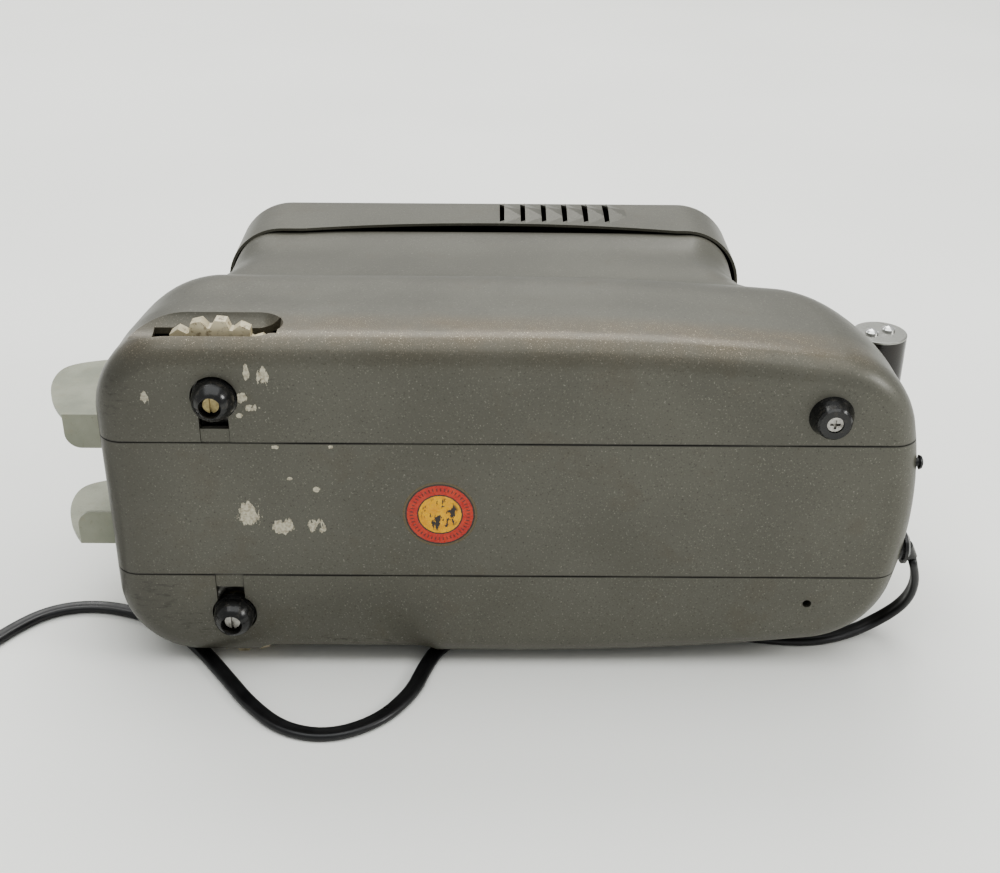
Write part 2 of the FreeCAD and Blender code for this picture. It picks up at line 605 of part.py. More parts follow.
# ------------------------------------------------------------------ motor, fan and switch
def make_motor():
    at = lambda y: ("motor_x", y, 0)
    motor_box = lambda low, high: box(("motor_x + %s" % low[0], low[1], low[2]),
                                      ("motor_x + %s" % high[0], high[1], high[2]))
    windows = [motor_box((x - 2, 20, -18), (x + 2, 50, 18)) for x in (-15, 15)]
    sub_part("motor_stack", cut(motor_box((-26, 24, -24), (26, 44, 24)),
                                cylinder("rotor_r + 0.5", 30, at(20), TO_BACK), *windows))
    coils = []
    for low in (-26, 16):
        hollow = motor_box((low - 1, 23.9, -10), (low + 11, 44.1, 10))
        coils.append(cut(motor_box((low, 19, -9), (low + 10, 49, 9)), hollow))
    sub_part("motor_coils", group(*coils))
    rotor = [("shaft_r", 0), ("rotor_r", 0), ("rotor_r", 22), ("shaft_r", 22)]
    turned("motor_rotor", rotor, at(23), TO_BACK)
    turned("motor_shaft", [(0, 0), ("shaft_r", 0), ("shaft_r", 62), (0, 62)], at(11), TO_BACK)
    for name, low in (("low", 12), ("high", 51)):
        bush = cylinder(5, 5, at(low - 1), TO_BACK)
        strap = join(motor_box((-24, low, -24), (24, low + 3, 24)), bush)
        bore = cylinder("shaft_r + shaft_fit", 12, at(low - 4), TO_BACK)
        sub_part("motor_bearing_" + name, cut(strap, bore))
    corners = [(x, z) for x in (-24, 20) for z in (-24, 20)]
    legs = [motor_box((x, low, z), (x + 4, high, z + 4)) for x, z in corners
            for low, high in ((4.4, 12), (15, 24), (44, 51))]
    sub_part("motor_posts", group(*legs))
    blade = [(5, -0.8), ("fan_r", 5.0), ("fan_r", 6.4), (5, 0.8)]
    ring_of("fan_impeller", 8, 10, blade, 8, at(60), TO_BACK, "shaft_r")


def make_switch():
    """A toggle switch through the rear of the neck, its lever resting at one end of its throw."""
    pivot = ("switch_x", "switch_y", 0)
    body = box((84, "switch_y - 12", -7), ("switch_x", "switch_y + 12", 7))
    neck = cylinder("switch_neck", 7.5, ("switch_x - 1", "switch_y", 0), TO_REAR)
    room = cone(2.6, 4.4, 9.0, ("switch_x - 2.4", "switch_y", 0), TO_REAR)
    round_pivot = lambda radius, half: cylinder(radius, 2 * half, ("switch_x", "switch_y", -half))
    sub_part("switch_body", cut(join(body, neck), room, round_pivot(3.4, 3.0),
                                round_pivot("pin_r + pin_fit", 5.8)))
    throw = math.radians(size("switch_throw"))
    leaning = Rotation(UP, Vector(math.cos(throw), -math.sin(throw), 0))
    shape = [(0, 0), (1.5, 0), (2.1, 17), (2.6, 17.7), (2.6, 19.2), (1.7, 20.2), (0, 20.4)]
    lever = turned(None, shape, pivot, leaning, False)
    sub_part("switch_lever", join(lever, round_pivot(2.8, 2.5), round_pivot("pin_r", 5.6)))


# ------------------------------------------------------------------ slide bin and handle
# The free edge of a bin plate, as (x, height above its straight edge).
BIN_EDGE = [(-165.2, 0), (-170.0, 8.0), (-174.7, 20.2), (-176.4, 32.2), (-174.4, 40.8), (-167.5, 45.6),
            (-146, 52.2)]


def make_bin():
    """Two side plates with inturned lips, and the back that joins them."""
    low, high, rear = size("bin_low"), size("bin_high"), -128
    curve = Part.BSplineCurve()
    curve.interpolate([Vector(x, low + rise, 0) for x, rise in BIN_EDGE])
    corners = [Vector(-146, high, 0), Vector(rear, high, 0), Vector(rear, low, 0), Vector(-165.2, low, 0)]
    edges = [curve.toShape()] + [Part.makeLine(*pair) for pair in zip(corners, corners[1:])]
    face = Part.Face(Part.Wire(edges))
    thick = size("bin_thick")
    inner = size("bin_z") - thick - 0.4
    lip_from = size("bin_lip")
    for side, label in ((1, "left"), (-1, "right")):
        plate = face.extrude(Vector(0, 0, thick))
        plate.translate(Vector(0, 0, inner if side > 0 else -inner - thick))
        lip_z = lip_from if side > 0 else -inner - 0.4
        lip = Part.makeBox(37.2, 1.4, inner + 0.4 - lip_from, Vector(-165.2, low, lip_z))
        free = [edge for edge in lip.Edges if edge.Length < 1.5 and edge.CenterOfMass.x < -150
                and abs(edge.CenterOfMass.z) < 20]
        form = solid(plate.fuse(lip.makeFillet(6.0, free)).removeSplitter(), "BinPlate")
        sub_part("slide_bin_%s_plate" % label, group(form))
    back = box((rear, "bin_low", "0.4 - bin_z"), (rear + 2, "bin_high", "bin_z - 0.4"))
    catch = box((rear + 2, "bin_low + 4.6", -12), (rear + 10, "bin_low + 8.6", 12))
    sub_part("slide_bin_back", join(back, catch))


def make_handle():
    """A round grip on two flat arms that come out of the frame."""
    centre = ("grip_x", "grip_y", "0 - grip_half")
    seats = [cylinder("rod_r + 0.1", "2 * grip_half + 2", ("grip_x", "grip_y", "0 - grip_half - 1"))]
    arms = []
    for side in (1, -1):
        near, far = across(side, "yoke_z", "yoke_z + yoke_thick")
        arms.append(box(("yoke_front", "grip_y - yoke_half", near),
                        ("grip_x + 4.5", "grip_y + yoke_half", far)))
        near, far = across(side, "yoke_z - 0.2", "yoke_z + yoke_thick + 0.2")
        seats.append(box(("grip_x - 15", "grip_y - yoke_half - 0.2", near),
                         ("grip_x + 5", "grip_y + yoke_half + 0.2", far)))
    sub_part("handle_grip", cut(cylinder("grip_r", "2 * grip_half", centre), *seats))
    bridge = box(("yoke_front", "grip_y - yoke_half", "0 - yoke_z"),
                 ("yoke_front + 2.5", "grip_y + yoke_half", "yoke_z"))
    rod = cylinder("rod_r", "2 * yoke_z", ("grip_x", "grip_y", "0 - yoke_z"))
    sub_part("handle_yoke", join(bridge, rod, *arms))

    disc = [(0, 0), ("grip_r", 0), ("grip_r", 0.7), ("grip_r - 0.3", "grip_cap"), (0, "grip_cap")]
    pan = [(0, 0), (2.7, 0), (2.7, 0.9), (1.8, 1.8), (0, 2.1)]
    discs = []
    screws = []
    for side, turn in ((1, TO_UP), (-1, TO_DOWN)):
        discs.append(turned(None, disc, ("grip_x", "grip_y", on_side(side, "grip_half")), turn, False))
        for x, y in ((-3.8, -1.6), (3.8, 1.6)):
            at = ("grip_x + %s" % x, "grip_y + %s" % y, on_side(side, "grip_half + grip_cap"))
            screws.append(turned(None, pan, at, turn, False))
    sub_part("handle_end_plates", group(*discs))
    sub_part("handle_screws", group(*screws))


# ------------------------------------------------------------------ label and small fittings
def make_fittings():
    turned("approval_label", [(0, 0), ("label_r", 0), ("label_r", "label_thick"), (0, "label_thick")],
           ("label_x", 0, "label_z"), TO_BACK)
    screw = [(0, 0), ("screw_r", 0), ("screw_r", 7.0), (2.7, 7.0), (2.4, 7.8), (1.4, 8.3), (0, 8.4)]
    turned("rear_screw", screw, (141.95, "rear_screw_y", "rear_screw_z"), TO_REAR)
    turned("cord_gland", [("relief_r", 0), ("gland_r", 0), ("gland_r", 6.0), (6.4, 6.0), (6.4, 7.2),
                          (4.6, 8.4), ("relief_r", 8.4)], ("gland_x", "gland_y", "gland_z"), TO_REAR)
    sleeve = cylinder("relief_r", 15, ("gland_x - 6.5", "gland_y", "gland_z"), TO_REAR)
    knuckle = sphere("relief_r", RELIEF_BEND)
    nose = cone("relief_r", "cord_r + 0.5", size("relief_nose"), RELIEF_BEND, Rotation(UP, EXIT_WAY))
    sub_part("strain_relief", join(sleeve, knuckle, nose))


# ------------------------------------------------------------------ mains cord and plug
# Where the strain relief bends down, and the way the cord leaves it.
RELIEF_BEND = (151.4, 12, -21.5)
EXIT_WAY = Vector(0.5, 0.15, -0.85).normalize()
# The cord's centre line where it isn't coiled: down to the floor, under the tapered rear of
# the case, out in a loop in front of it and away past the lens end to the coil.
CORD_ROUTE = [
    (154.5, 12.9, -26.8), (157.9, 15.0, -35.0), (159.0, 18.5, -46.0), (156.8, 23.2, -56.5),
    (149.5, 26.2, -65.5), (137.5, 22.0, -69.0), (122.0, 16.6, -69.0), (104.5, 17.8, -69.0),
    (83.0, 22.0, -69.0), (58.0, 25.5, -69.0), (32.0, 26.5, -69.0), (7.0, 25.0, -69.0),
    (-12.5, 21.5, -69.0), (-26.5, 12.0, -69.0), (-32.0, -2.5, -69.0), (-36.0, -18.0, -69.0),
    (-47.5, -34.5, -69.0), (-64.5, -43.0, -69.0), (-82.0, -39.0, -69.0), (-96.0, -25.0, -69.0),
    (-107.5, -8.5, -69.0), (-120.5, 9.5, -69.0), (-134.0, 23.5, -69.0), (-150.5, 33.5, -69.0),
    (-170.0, 38.5, -69.0), (-187.5, 34.0, -69.0), (-200.0, 19.5, -69.0), (-208.5, 3.0, -69.0),
    (-221.0, -12.0, -69.0),
]
# From the top of the coil to the plug.
TAIL_ROUTE = [(-296.0, 2.0, -65.7), (-297.0, 12.0, -65.3), (-297.6, 22.5, -64.1)]


def smooth_path(route):
    """Straight runs joined by tangent arcs, each as large as its two runs allow."""
    spots = [Vector(*spot) for spot in route]
    edges = []
    radii = []
    start = spots[0]
    for before, corner, after in zip(spots, spots[1:], spots[2:]):
        come = corner - before
        leave = after - corner
        turn = come.getAngle(leave)
        reach = 0.45 * min(come.Length, leave.Length)
        radius = reach / math.tan(turn / 2)
        come.normalize()
        leave.normalize()
        inward = (leave - come).normalize()
        middle = corner + inward * radius * (1 / math.cos(turn / 2) - 1)
        edges.append(Part.LineSegment(start, corner - come * reach).toShape())
        edges.append(Part.Arc(corner - come * reach, middle, corner + leave * reach).toShape())
        start = corner + leave * reach
        radii.append(radius)
    edges.append(Part.LineSegment(start, spots[-1]).toShape())
    return Part.Wire(edges), radii


def tube(label, route):
    path, radii = smooth_path(route)
    radius = size("cord_r")
    rim = Part.makeCircle(radius, Vector(*route[0]), Vector(*route[1]) - Vector(*route[0]))
    shape = path.makePipeShell([Part.Wire(rim)], True, False)
    if shape.Volume < 0:
        shape.reverse()
    filled = shape.Volume / (math.pi * radius ** 2 * path.Length)
    print("%s: %.1f long, volume ratio %.4f, radii %s" % (
        label, path.Length, filled, " ".join("%.0f" % radius for radius in radii)))
    sub_part(label, group(solid(shape, "Tube")))


def make_cord():
    tube("cord_run", CORD_ROUTE)
    tube("cord_tail", TAIL_ROUTE)
    floor = "0 - stand_z"
    bore = "coil_r - coil_band"
    turned("cord_coil", [(bore, 0), ("coil_r", 0), ("coil_r", "coil_tall"), (bore, "coil_tall")],
           ("coil_x", "coil_y", floor))
    axis = "plug_axis - stand_z"
    neck = cone(3.4, 5.6, 10.2, ("plug_x", "plug_y", axis), TO_BACK)
    block = box(("plug_x - 9.5", "plug_y + 10", floor),
                ("plug_x + 9.5", "plug_y + 32", "2 * plug_axis - stand_z"))
    soft = rounded(block, 3.5, lambda middle, edge: abs(edge.tangentAt(edge.FirstParameter).y) > 0.9)
    sub_part("plug_body", join(soft, neck))
    blades = [box(("plug_x + %s" % (x - 0.75), "plug_y + 32", axis + " - 3.15"),
                  ("plug_x + %s" % (x + 0.75), "plug_y + 48", axis + " + 3.15")) for x in (-6.35, 6.35)]
    sub_part("plug_blades", group(*blades))


make_case()
make_cap()
for side, name in ((1, "left"), (-1, "right")):
    make_front_foot(side, name)
make_rear_feet()
make_lens()
make_condenser()
make_lamp()
make_motor()
make_switch()
make_bin()
make_handle()
make_fittings()
make_cord()
doc.recompute()

# ------------------------------------------------------------------ checks and files
for item in doc.Objects:
    if "Invalid" in item.State or "Error" in item.State:
        raise SystemExit("failed: %s %s %s" % (item.Name, item.Label, item.State))
os.makedirs("parts", exist_ok=True)
for label, item in sub_parts.items():
    if item.Shape.isNull() or not item.Shape.isValid() or item.Shape.Volume <= 0:
        raise SystemExit("bad shape: " + label)
    item.Shape.exportStep("parts/%s.step" % label)
    b = item.Shape.BoundBox
    print("%-24s %2d solids  x %.1f %.1f  y %.1f %.1f  z %.1f %.1f" % (
        label, len(item.Shape.Solids), b.XMin, b.XMax, b.YMin, b.YMax, b.ZMin, b.ZMax))
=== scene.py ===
import math

import bmesh
import bpy
from mathutils import Matrix, Vector


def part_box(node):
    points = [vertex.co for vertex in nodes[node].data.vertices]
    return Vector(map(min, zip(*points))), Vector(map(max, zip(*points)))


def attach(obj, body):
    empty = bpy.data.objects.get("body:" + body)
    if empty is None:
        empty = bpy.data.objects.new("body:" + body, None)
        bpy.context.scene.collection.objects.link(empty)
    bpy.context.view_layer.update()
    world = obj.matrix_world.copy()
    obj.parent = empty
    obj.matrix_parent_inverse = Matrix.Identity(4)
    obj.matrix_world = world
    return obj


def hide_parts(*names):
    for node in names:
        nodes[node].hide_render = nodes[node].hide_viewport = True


# A 1950s slide projector lying on its right side. Metres, in the CAD model's frame: +X to the
# handle end, +Y to the lamp house cap, +Z up. MACHINE turns machine axes (millimetres from
# the underside and the middle plane, as the CAD source counts them) into that frame.
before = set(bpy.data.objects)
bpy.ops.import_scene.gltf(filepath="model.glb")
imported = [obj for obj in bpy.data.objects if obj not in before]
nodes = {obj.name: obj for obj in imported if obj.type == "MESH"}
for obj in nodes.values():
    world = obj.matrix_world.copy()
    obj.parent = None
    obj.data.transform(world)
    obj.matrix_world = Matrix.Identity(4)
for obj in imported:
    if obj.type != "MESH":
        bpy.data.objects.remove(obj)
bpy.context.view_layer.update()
MM = 0.001
MACHINE = Vector((6.2, -96.475, 70.6)) * MM
SENSOR_WIDTH = 36.0


def spot(x, y, z):
    """A point on machine axes, in millimetres, as a point of the frame, in metres."""
    return Vector((x, y, z)) * MM + MACHINE


# ---------------------------------------------------------------- camera
def look(position, pitch, yaw, roll, focal):
    """A camera turned down by pitch, right by yaw and over by roll, in degrees."""
    pitch, yaw, roll = (math.radians(angle) for angle in (pitch, yaw, roll))
    level = math.cos(pitch)
    ahead = Vector((math.sin(yaw) * level, math.cos(yaw) * level, -math.sin(pitch)))
    right = Vector((math.cos(yaw), -math.sin(yaw), 0))
    above = right.cross(ahead)
    tilted_right = right * math.cos(roll) + above * math.sin(roll)
    tilted_above = above * math.cos(roll) - right * math.sin(roll)
    data = bpy.data.cameras.new("camera")
    data.lens = focal
    data.sensor_width = SENSOR_WIDTH
    camera = bpy.data.objects.new("camera", data)
    bpy.context.scene.collection.objects.link(camera)
    turn = Matrix((tilted_right, tilted_above, -ahead)).transposed()
    camera.matrix_world = Matrix.Translation(position) @ turn.to_4x4()
    bpy.context.scene.camera = camera


look(spot(-6.0, -435.3, 263.1), pitch=28.04, yaw=0.325, roll=0.489, focal=50.1)


# ---------------------------------------------------------------- node helpers
def new_material(name):
    material = bpy.data.materials.new(name)
    material.use_nodes = True
    return material, material.node_tree


def feed(tree, socket, value):
    """Give a socket another node's output or a plain value. A colour is given without its alpha."""
    if isinstance(value, bpy.types.NodeSocket):
        tree.links.new(value, socket)
    elif socket.type == "RGBA":
        socket.default_value = (*value, 1.0)
    else:
        socket.default_value = value


def add(tree, kind, sockets, **settings):
    """Add a node, set its properties and feed its sockets."""
    made = tree.nodes.new("ShaderNode" + kind)
    for name, value in settings.items():
        setattr(made, name, value)
    for key, value in sockets.items():
        feed(tree, made.inputs[key], value)
    return made


def where(tree):
    return add(tree, "TexCoord", {}).outputs["Object"]


def noise(tree, scale, detail=3.0, rough=0.5, at=None):
    """Noise from 0 to 1; scale counts its features in a metre."""
    sockets = {"Vector": at or where(tree), "Scale": scale, "Detail": detail, "Roughness": rough}
    return add(tree, "TexNoise", sockets).outputs[0]


def cells(tree, scale):
    """Distance from the middle of the nearest cell, with soft borders between the cells."""
    sockets = {"Vector": where(tree), "Scale": scale}
    return add(tree, "TexVoronoi", sockets, feature="SMOOTH_F1").outputs["Distance"]


def maths(tree, operation, first, second=0.0, third=0.0):
    return add(tree, "Math", {0: first, 1: second, 2: third}, operation=operation).outputs[0]


def product(tree, first, *others):
    for other in others:
        first = maths(tree, "MULTIPLY", first, other)
    return first


def apart(tree, value, middle):
    """How far value is from middle, either way."""
    return maths(tree, "ABSOLUTE", maths(tree, "SUBTRACT", value, middle))


def step(tree, value, low, high, start=0.0, end=1.0):
    """Runs smoothly from start, at low, to end, at high."""
    sockets = {"Value": value, "From Min": low, "From Max": high, "To Min": start, "To Max": end}
    return add(tree, "MapRange", sockets, interpolation_type="SMOOTHSTEP").outputs["Result"]


def blend(tree, factor, first, second):
    made = add(tree, "Mix", {"Factor": factor}, data_type="RGBA")
    feed(tree, made.inputs[6], first)
    feed(tree, made.inputs[7], second)
    return made.outputs[2]


def bump(tree, height, distance, strength):
    sockets = {"Height": height, "Distance": distance, "Strength": strength}
    return add(tree, "Bump", sockets).outputs["Normal"]


def stretched(tree, scale, vector=None):
    """Coordinates with each axis scaled, for noise that is drawn out along one of them."""
    return add(tree, "Mapping", {0: vector or where(tree), "Scale": scale}).outputs[0]


def near(tree, centre, reach):
    """1 at centre, falling to 0 at the three reaches from it. Both are given in metres."""
    scaled = add(tree, "VectorMath", {0: where(tree), 1: centre}, operation="SUBTRACT").outputs[0]
    scaled = add(tree, "VectorMath", {0: scaled, 1: reach}, operation="DIVIDE").outputs[0]
    length = add(tree, "VectorMath", {0: scaled}, operation="LENGTH").outputs["Value"]
    return step(tree, length, 1.0, 0.35)


def either(tree, *masks):
    result = masks[0]
    for mask in masks[1:]:
        result = maths(tree, "MAXIMUM", result, mask)
    return result


def patches(tree, places):
    """A soft mask over each place: (x, y, z) in machine millimetres, and how far it reaches."""
    return either(tree, *[near(tree, spot(*at), Vector(reach) * MM) for at, reach in places])


def shade(tree, colour, roughness, normal=None, **values):
    """Feed the material's shader. Other sockets are named with _ for each space."""
    values.update({"Base Color": colour, "Roughness": roughness})
    if normal is not None:
        values["Normal"] = normal
    shader = tree.nodes["Principled BSDF"]
    for name, value in values.items():
        feed(tree, shader.inputs[name.replace("_", " ")], value)


# ---------------------------------------------------------------- materials
# Chipped places in the paint, then darkened places: (x, y, z) on machine axes and reaches.
CHIPS = [
    ((-86, 1, 55), (3.6, 6, 6.0)), ((-91.5, 1, 55.5), (2.0, 5, 5.0)), ((-94, 0, 46), (3.2, 4, 3.2)),
    ((-90.5, 0, 42), (4.0, 4, 2.4)), ((-95.5, 0, 39), (2.6, 4, 1.8)),
    ((-95, 0, -1.5), (7, 5, 8)), ((-83, 0, -6.5), (7, 5, 5)), ((-70, 0, -6.5), (6, 5, 5)),
    ((-79, 0, 13.5), (2.0, 3, 1.2)), ((-69.5, 0, 9), (2.4, 3, 2.0)), ((-128, 2, 46), (2.6, 6, 5)),
    ((-84, 0, 26.4), (2.6, 2, 1.3)), ((-64, 0, 26.6), (1.5, 2, 1.3)),
    ((148, 8, 30), (4, 6, 1.8)),
]
# The long darkened place along the lower edge is painted shade over the shallow scoop there; the
# others darken the corners at the lens end.
DARKENED_PLACES = [
    ((-136, 4, -40), (22, 14, 18)), ((-118, 1, -50), (16, 6, 8)), ((-147, 14, 5), (6, 22, 44)),
    ((-140, 6, 44), (16, 14, 14)), ((-60, 2, -60), (34, 8, 8)),
]


SEAM_HEIGHT = 28.0
BURNISHED = spot(0, 13, 0).y
BURNISH_LOW, BURNISH_HIGH = spot(0, 0, 52).z, spot(0, 0, 63).z
# Where the painted shade towards the lens end of the underside runs, along x and along y.
LENS_END_SHADE_START, LENS_END_SHADE_FULL = spot(-112, 0, 0).x, spot(-150, 0, 0).x
LENS_END_SHADE_TOP, LENS_END_SHADE_LOW = spot(0, 45, 0).y, spot(0, 4, 0).y


def enamel_tones(tree, cloud):
    """Two close tones in clouds, with pale and dark metallic flecks and a brown film of grease."""
    fleck = noise(tree, 1500, 2, 0.6)
    grease = step(tree, noise(tree, 45, 5, 0.65), 0.54, 0.70)
    colour = blend(tree, step(tree, cloud, 0.3, 0.7), (0.088, 0.085, 0.068), (0.107, 0.104, 0.085))
    colour = blend(tree, step(tree, fleck, 0.60, 0.76), colour, (0.20, 0.196, 0.163))
    colour = blend(tree, step(tree, fleck, 0.40, 0.26), colour, (0.056, 0.053, 0.041))
    return blend(tree, product(tree, grease, 0.22), colour, (0.075, 0.060, 0.038))


def burnish_mask(tree, place):
    """The rounded edge between the underside and the left cover, worn by hands."""
    across = step(tree, apart(tree, place.outputs[1], BURNISHED), 0.016, 0.004)
    upward = step(tree, place.outputs[2], BURNISH_LOW, BURNISH_HIGH)
    uneven = step(tree, noise(tree, 60, 4, 0.6), 0.25, 0.75, 0.35, 1.0)
    return product(tree, across, upward, uneven)


def chip_mask(tree):
    """Hard, ragged edges round the chipped places."""
    chips = patches(tree, CHIPS)
    ragged = noise(tree, 330, 5, 0.66, at=stretched(tree, (1.25, 1.0, 0.5)))
    level = maths(tree, "MULTIPLY_ADD", chips, 0.30, ragged)
    return product(tree, step(tree, level, 0.715, 0.735), step(tree, chips, 0.0, 0.12))


def painted_shades(tree, place, cloud, colour):
    """Painted shade: a dark line in the two seams, and darker towards the lens end of the
    underside.
    """
    # painted shade in the seam gaps between the covers and the centre frame, stronger in places
    off_seam = apart(tree, apart(tree, place.outputs[2], spot(0, 0, 0).z), SEAM_HEIGHT * MM)
    seam_shade = step(tree, off_seam, 0.0007, 0.0002)
    seam_shade = product(tree, seam_shade, step(tree, cloud, 0.35, 0.6, 0.4, 0.9))
    colour = blend(tree, seam_shade, colour, (0.008, 0.007, 0.005))
    # painted shade, darker towards the lens end of the underside
    lens_end_shade = step(tree, place.outputs[0], LENS_END_SHADE_START, LENS_END_SHADE_FULL)
    lens_end_shade = product(tree, lens_end_shade, step(tree, place.outputs[1], LENS_END_SHADE_TOP, LENS_END_SHADE_LOW, 0.0, 0.5))
    return blend(tree, lens_end_shade, colour, (0.040, 0.037, 0.030))


def hammered_paint():
    """Grey-brown enamel with a fine metallic fleck, chipped and worn at the edges, with painted
    shade in the seams, along the lower edge and towards the lens end, and painted glints on the
    worn edge.
    """
    material, tree = new_material("hammered_paint")
    place = add(tree, "SeparateXYZ", {0: where(tree)})
    cloud = noise(tree, 22, 4)
    colour = enamel_tones(tree, cloud)

    burnish = burnish_mask(tree, place)
    colour = blend(tree, product(tree, burnish, 0.6), colour, (0.118, 0.084, 0.042))
    # painted glints: pale flecks in the colour of the worn edge stand in for its glitter of light
    painted_glint = product(tree, burnish, step(tree, noise(tree, 2600, 1), 0.64, 0.74))
    colour = blend(tree, painted_glint, colour, (0.62, 0.55, 0.42))

    # Darker streaked patches: painted shade along the lower edge over the scoop, and darker corners
    # at the lens end.
    streaks = noise(tree, 1.0, 4, 0.7, at=stretched(tree, (160, 600, 700)))
    darkened = product(tree, patches(tree, DARKENED_PLACES), step(tree, streaks, 0.50, 0.68), 0.75)
    colour = blend(tree, darkened, colour, (0.035, 0.031, 0.024))

    bare = chip_mask(tree)
    undercoat = step(tree, noise(tree, 900, 3), 0.35, 0.7)
    undercoat = blend(tree, undercoat, (0.50, 0.47, 0.37), (0.30, 0.27, 0.20))
    colour = blend(tree, bare, colour, undercoat)
    nick = product(tree, step(tree, noise(tree, 520, 3, 0.7), 0.765, 0.79), 0.55)
    colour = blend(tree, nick, colour, (0.42, 0.40, 0.33))
    colour = painted_shades(tree, place, cloud, colour)

    relief = maths(tree, "MULTIPLY_ADD", cells(tree, 720), -0.5, noise(tree, 330, 2))
    relief = maths(tree, "MULTIPLY_ADD", noise(tree, 4200, 1), 0.12, relief)
    relief = maths(tree, "MULTIPLY_ADD", bare, -0.8, relief)
    rough = step(tree, cloud, 0.2, 0.8, 0.40, 0.48)
    rough = maths(tree, "MULTIPLY_ADD", bare, 0.3, rough)
    rough = maths(tree, "MULTIPLY_ADD", burnish, -0.07, rough)
    shade(tree, colour, rough, bump(tree, relief, 0.00011, 0.55),
          Metallic=step(tree, bare, 0.0, 1.0, 0.30, 0.0), Coat_Weight=0.16, Coat_Roughness=0.20)
    return material


def moulded(name, light, dark, roughness, grain_scale, grain_depth, grime=None, **values):
    """A moulded plastic or rubber: two close tones, a fine grain, and grime in blotches."""
    material, tree = new_material(name)
    colour = blend(tree, step(tree, noise(tree, 90, 4), 0.3, 0.7), dark, light)
    if grime:
        dirt = step(tree, noise(tree, 420, 5, 0.65), 0.52, 0.66)
        colour = blend(tree, product(tree, dirt, 0.75), colour, grime)
    smooth = step(tree, noise(tree, 160, 3), 0.2, 0.8, roughness - 0.07, roughness + 0.09)
    normal = bump(tree, noise(tree, grain_scale, 3), grain_depth, 0.6)
    shade(tree, colour, smooth, normal, **values)
    return material


def metal(name, bright, dull, roughness, brushed=(1, 1, 1), worn=0.3):
    """A metal with brushed streaks along one axis and dull stains."""
    material, tree = new_material(name)
    lines = noise(tree, 900, 3, 0.6, at=stretched(tree, brushed))
    stain = step(tree, noise(tree, 130, 5, 0.6), 0.48, 0.68)
    colour = blend(tree, product(tree, stain, worn), bright, dull)
    colour = blend(tree, step(tree, lines, 0.35, 0.7, 0.0, 0.25), colour, dull)
    rough = step(tree, lines, 0.2, 0.8, roughness - 0.05, roughness + 0.1)
    rough = maths(tree, "MULTIPLY_ADD", stain, 0.18, rough)
    shade(tree, colour, rough, bump(tree, lines, 0.00003, 0.5), Metallic=1.0)
    return material


def worn_alloy():
    """The bin's pale satin plates, whose sides carry small flaked specks."""
    material, tree = new_material("worn_alloy")
    cloud = noise(tree, 60, 4)
    colour = blend(tree, step(tree, cloud, 0.3, 0.7), (0.22, 0.23, 0.18), (0.29, 0.295, 0.235))
    speck = step(tree, noise(tree, 900, 4, 0.7), 0.60, 0.66)
    colour = blend(tree, product(tree, speck, 0.6), colour, (0.20, 0.19, 0.14))
    dirt = step(tree, noise(tree, 200, 5, 0.6), 0.55, 0.75)
    colour = blend(tree, product(tree, dirt, 0.5), colour, (0.26, 0.24, 0.17))
    rough = step(tree, noise(tree, 300, 3), 0.2, 0.8, 0.30, 0.50)
    shade(tree, colour, rough, bump(tree, noise(tree, 1500, 3), 0.00003, 0.6), Metallic=0.25)
    return material


def glass(name, tint):
    """Clear glass with a film of dust."""
    material, tree = new_material(name)
    dust = step(tree, noise(tree, 700, 4, 0.7), 0.45, 0.8, 0.02, 0.14)
    shade(tree, tint, dust, IOR=1.52, Transmission_Weight=1.0)
    return material


# The label: the outer radius of its red and yellow rings, and the radius its dashes stand at, in
# millimetres. Olive lies outside the rings.
RED_RING, YELLOW_RING, DASH_RING = 12.15, 7.85, 10.4
INK, OLIVE = (0.020, 0.012, 0.008), (0.105, 0.082, 0.040)
DASHES = 46.0


